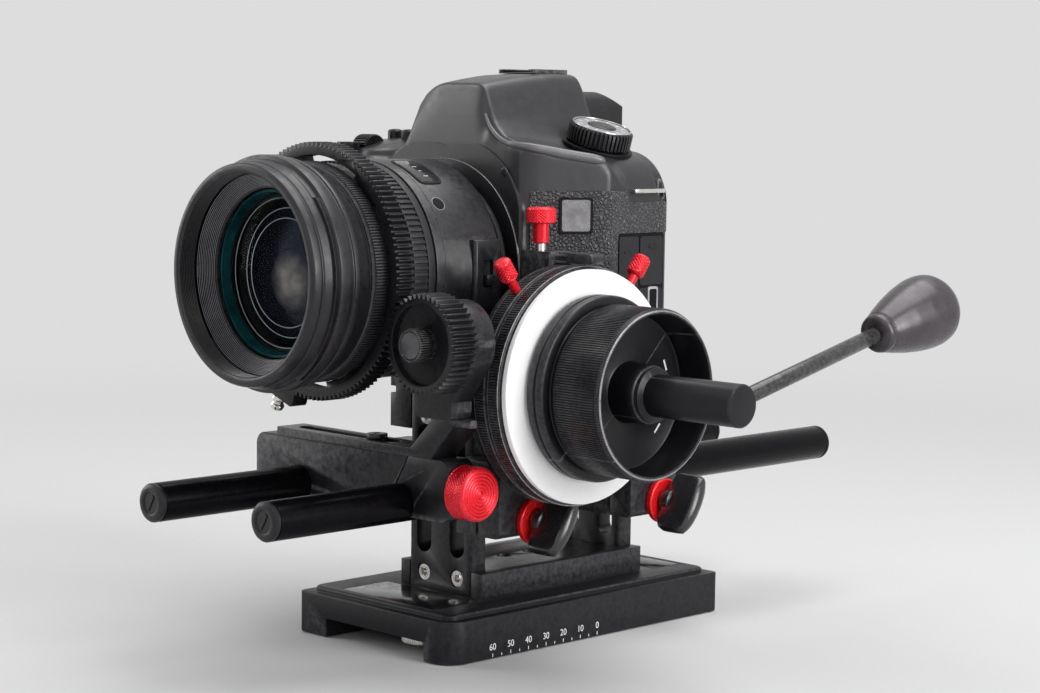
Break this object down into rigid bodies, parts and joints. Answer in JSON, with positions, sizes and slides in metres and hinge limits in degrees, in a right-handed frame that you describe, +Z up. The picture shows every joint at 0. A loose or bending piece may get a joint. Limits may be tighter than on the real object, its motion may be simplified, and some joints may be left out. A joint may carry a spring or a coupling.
{
  "type": "cinema camera rig",
  "caption": "Stills camera and prime lens on a raised rod support, with a geared follow focus, crank handle and long quick-release plate.",
  "frame": {"origin": "middle of the quick-release plate's underside, below the lens axis", "axes": "+Z up, -Y the way the lens faces, +X the side with the follow focus wheel"},
  "size_m": [0.2565, 0.332, 0.2308],
  "materials": {
    "black_anodised": "satin anodised",
    "black_rods": "anodised, glossier than the blocks",
    "black_cast": "fine textured paint",
    "red_anodised": "bright anodised, knurled",
    "steel": "turned steel",
    "dark_steel": "oiled steel",
    "brass": "turned",
    "black_plastic": "moulded",
    "satin_plastic": "satin moulded",
    "white_plastic": "plain write-on surface",
    "lens_paint": "satin black",
    "lens_rubber": "ribbed rubber",
    "lens_glass": "coated glass",
    "camera_shell": "stippled paint and grained leatherette",
    "black_rubber": "soft",
    "screen_glass": "glossy",
    "mirror_silver": "polished",
    "pad_gloss": "glossy inlay"
  },
  "bodies": {
    "rig": {"tripod_plate": "black_cast", "plate_pads": "pad_gloss", "plate_screws": "steel", "base_plate": "black_anodised", "front_riser": "black_anodised", "rear_riser": "black_anodised", "riser_screws": "steel", "rod_clamps": "black_anodised", "clamp_washers": "red_anodised", "camera_platform": "black_anodised", "camera_shell": "camera_shell", "camera_top_cover": "camera_shell", "camera_back_cover": "camera_shell", "port_cover": "black_rubber", "rear_screen": "screen_glass", "eyecup": "black_rubber", "hot_shoe": "dark_steel", "strap_lugs": "steel", "lens_barrel": "lens_paint", "lens_front_ring": "lens_paint", "lens_glass": "lens_glass"},
    "wing_front_right": {"wing_knob_front_right": "black_plastic"},
    "wing_front_left": {"wing_knob_front_left": "black_plastic"},
    "wing_rear_right": {"wing_knob_rear_right": "black_plastic"},
    "wing_rear_left": {"wing_knob_rear_left": "black_plastic"},
    "right_rod": {"right_rod": "black_rods"},
    "left_rod": {"left_rod": "black_rods"},
    "camera_screw": {"camera_screw": "steel"},
    "bracket": {"ff_bracket": "black_anodised", "arm_screw": "dark_steel"},
    "bracket_knob": {"bracket_knob": "red_anodised"},
    "arm": {"ff_arm": "black_anodised", "gearbox_housing": "black_anodised", "shaft_bushes": "brass", "index_pointer": "steel"},
    "wheel": {"handwheel": "black_anodised", "marking_disc": "white_plastic", "wheel_shaft": "steel", "crank_post": "black_anodised", "crank_lever": "dark_steel"},
    "crank_knob": {"crank_knob": "satin_plastic"},
    "lay_shaft": {"lay_shaft": "steel"},
    "drive": {"drive_shaft": "steel", "drive_gear": "black_plastic", "drive_gear_screw": "dark_steel"},
    "focus": {"focus_ring": "lens_rubber", "lens_gear_ring": "black_plastic", "ring_clamp_screw": "steel"},
    "stop_a": {"stop_a_ring": "black_anodised"},
    "stop_b": {"stop_b_ring": "black_anodised"},
    "stop_a_screw": {"stop_a_screw": "red_anodised"},
    "stop_b_screw": {"stop_b_screw": "red_anodised"},
    "thumb_screw": {"thumb_screw": "red_anodised"},
    "focus_switch": {"focus_switch": "black_plastic"},
    "mode_dial": {"mode_dial": "black_plastic"},
    "rear_dial": {"rear_dial": "black_plastic"},
    "set_button": {"set_button": "black_plastic"},
    "shutter_button": {"shutter_button": "black_plastic"},
    "lens_release": {"lens_release": "black_plastic"},
    "mirror": {"mirror": "mirror_silver"}
  },
  "joints": [
    {"name": "wing_front_right_turn", "type": "hinge", "parent": "rig", "child": "wing_front_right", "pos_m": [0.0455, -0.034, 0.0521], "axis": [1, 0, 0], "range_deg": [0, 360]},
    {"name": "wing_front_left_turn", "type": "hinge", "parent": "rig", "child": "wing_front_left", "pos_m": [-0.0455, -0.034, 0.0521], "axis": [-1, 0, 0], "range_deg": [0, 360]},
    {"name": "wing_rear_right_turn", "type": "hinge", "parent": "rig", "child": "wing_rear_right", "pos_m": [0.0455, 0.0425, 0.0521], "axis": [1, 0, 0], "range_deg": [0, 360]},
    {"name": "wing_rear_left_turn", "type": "hinge", "parent": "rig", "child": "wing_rear_left", "pos_m": [-0.0455, 0.0425, 0.0521], "axis": [-1, 0, 0], "range_deg": [0, 360]},
    {"name": "right_rod_slide", "type": "slide", "parent": "rig", "child": "right_rod", "axis": [0, 1, 0], "range_m": [-0.1, 0.06]},
    {"name": "left_rod_slide", "type": "slide", "parent": "rig", "child": "left_rod", "axis": [0, 1, 0], "range_m": [-0.1, 0.06]},
    {"name": "camera_screw_turn", "type": "hinge", "parent": "rig", "child": "camera_screw", "pos_m": [0, -0.001, 0.1], "axis": [0, 0, -1], "range_deg": [0, 360]},
    {"name": "bracket_slide", "type": "slide", "parent": "rig", "child": "bracket", "axis": [0, 1, 0], "range_m": [-0.045, 0.005]},
    {"name": "bracket_knob_turn", "type": "hinge", "parent": "bracket", "child": "bracket_knob", "pos_m": [0.057, -0.087, 0.0711], "axis": [1, 0, 0], "range_deg": [0, 360]},
    {"name": "arm_slide", "type": "slide", "parent": "bracket", "child": "arm", "axis": [1, 0, 0], "range_m": [0, 0.012]},
    {"name": "wheel_turn", "type": "hinge", "parent": "arm", "child": "wheel", "pos_m": [0.11635, -0.044, 0.1098], "axis": [1, 0, 0], "range_deg": [-150, 150]},
    {"name": "crank_knob_spin", "type": "hinge", "parent": "wheel", "child": "crank_knob", "pos_m": [0.151, 0.04216, 0.13001], "axis": [0, 0.9736, 0.2284], "continuous": true},
    {"name": "lay_shaft_turn", "type": "hinge", "parent": "arm", "child": "lay_shaft", "pos_m": [0.05617, -0.0912, 0.1098], "axis": [0, 1, 0], "range_deg": [-150, 150]},
    {"name": "drive_turn", "type": "hinge", "parent": "arm", "child": "drive", "pos_m": [0.06272, -0.0912, 0.1287], "axis": [0, 1, 0], "range_deg": [-84.38, 84.38]},
    {"name": "focus_turn", "type": "hinge", "parent": "rig", "child": "focus", "pos_m": [0, -0.1125, 0.1517], "axis": [0, 1, 0], "range_deg": [-31.13, 31.13]},
    {"name": "stop_a_turn", "type": "hinge", "parent": "arm", "child": "stop_a", "pos_m": [0.0685, -0.044, 0.1098], "axis": [1, 0, 0], "range_deg": [-20, 10]},
    {"name": "stop_b_turn", "type": "hinge", "parent": "arm", "child": "stop_b", "pos_m": [0.0755, -0.044, 0.1098], "axis": [1, 0, 0], "range_deg": [-200, 22]},
    {"name": "stop_a_screw_turn", "type": "hinge", "parent": "stop_a", "child": "stop_a_screw", "pos_m": [0.0685, -0.0728, 0.14944], "axis": [0, -0.5878, 0.809], "range_deg": [0, 360]},
    {"name": "stop_b_screw_turn", "type": "hinge", "parent": "stop_b", "child": "stop_b_screw", "pos_m": [0.0755, -0.01451, 0.14893], "axis": [0, 0.6018, 0.7986], "range_deg": [0, 360]},
    {"name": "thumb_screw_turn", "type": "hinge", "parent": "arm", "child": "thumb_screw", "pos_m": [0.0548, -0.044, 0.1605], "axis": [0, 0, 1], "range_deg": [0, 360]},
    {"name": "focus_switch_slide", "type": "slide", "parent": "rig", "child": "focus_switch", "axis": [0, 0, 1], "range_m": [0, 0.0052]},
    {"name": "mode_dial_turn", "type": "hinge", "parent": "rig", "child": "mode_dial", "pos_m": [0.0404, 0.0035, 0.2034], "axis": [0.2823, 0, 0.9593], "continuous": true},
    {"name": "rear_dial_turn", "type": "hinge", "parent": "rig", "child": "rear_dial", "pos_m": [-0.062, 0.023, 0.14], "axis": [0, 1, 0], "continuous": true},
    {"name": "set_button_press", "type": "slide", "parent": "rig", "child": "set_button", "axis": [0, 1, 0], "range_m": [-0.0006, 0], "stiffness_N_per_m": 300},
    {"name": "shutter_button_press", "type": "slide", "parent": "rig", "child": "shutter_button", "axis": [0, 0, 1], "range_m": [-0.0006, 0], "stiffness_N_per_m": 300},
    {"name": "lens_release_press", "type": "slide", "parent": "rig", "child": "lens_release", "axis": [0, 1, 0], "range_m": [0, 0.0006], "stiffness_N_per_m": 300},
    {"name": "mirror_flip", "type": "hinge", "parent": "rig", "child": "mirror", "pos_m": [0, -0.0015, 0.171], "axis": [1, 0, 0], "range_deg": [-45, 0]}
  ],
  "couplings": [
    {"joint": "lay_shaft_turn", "follows": "wheel_turn", "ratio": 1},
    {"joint": "drive_turn", "follows": "wheel_turn", "ratio": -0.5625},
    {"joint": "focus_turn", "follows": "wheel_turn", "ratio": 0.20748}
  ]
}
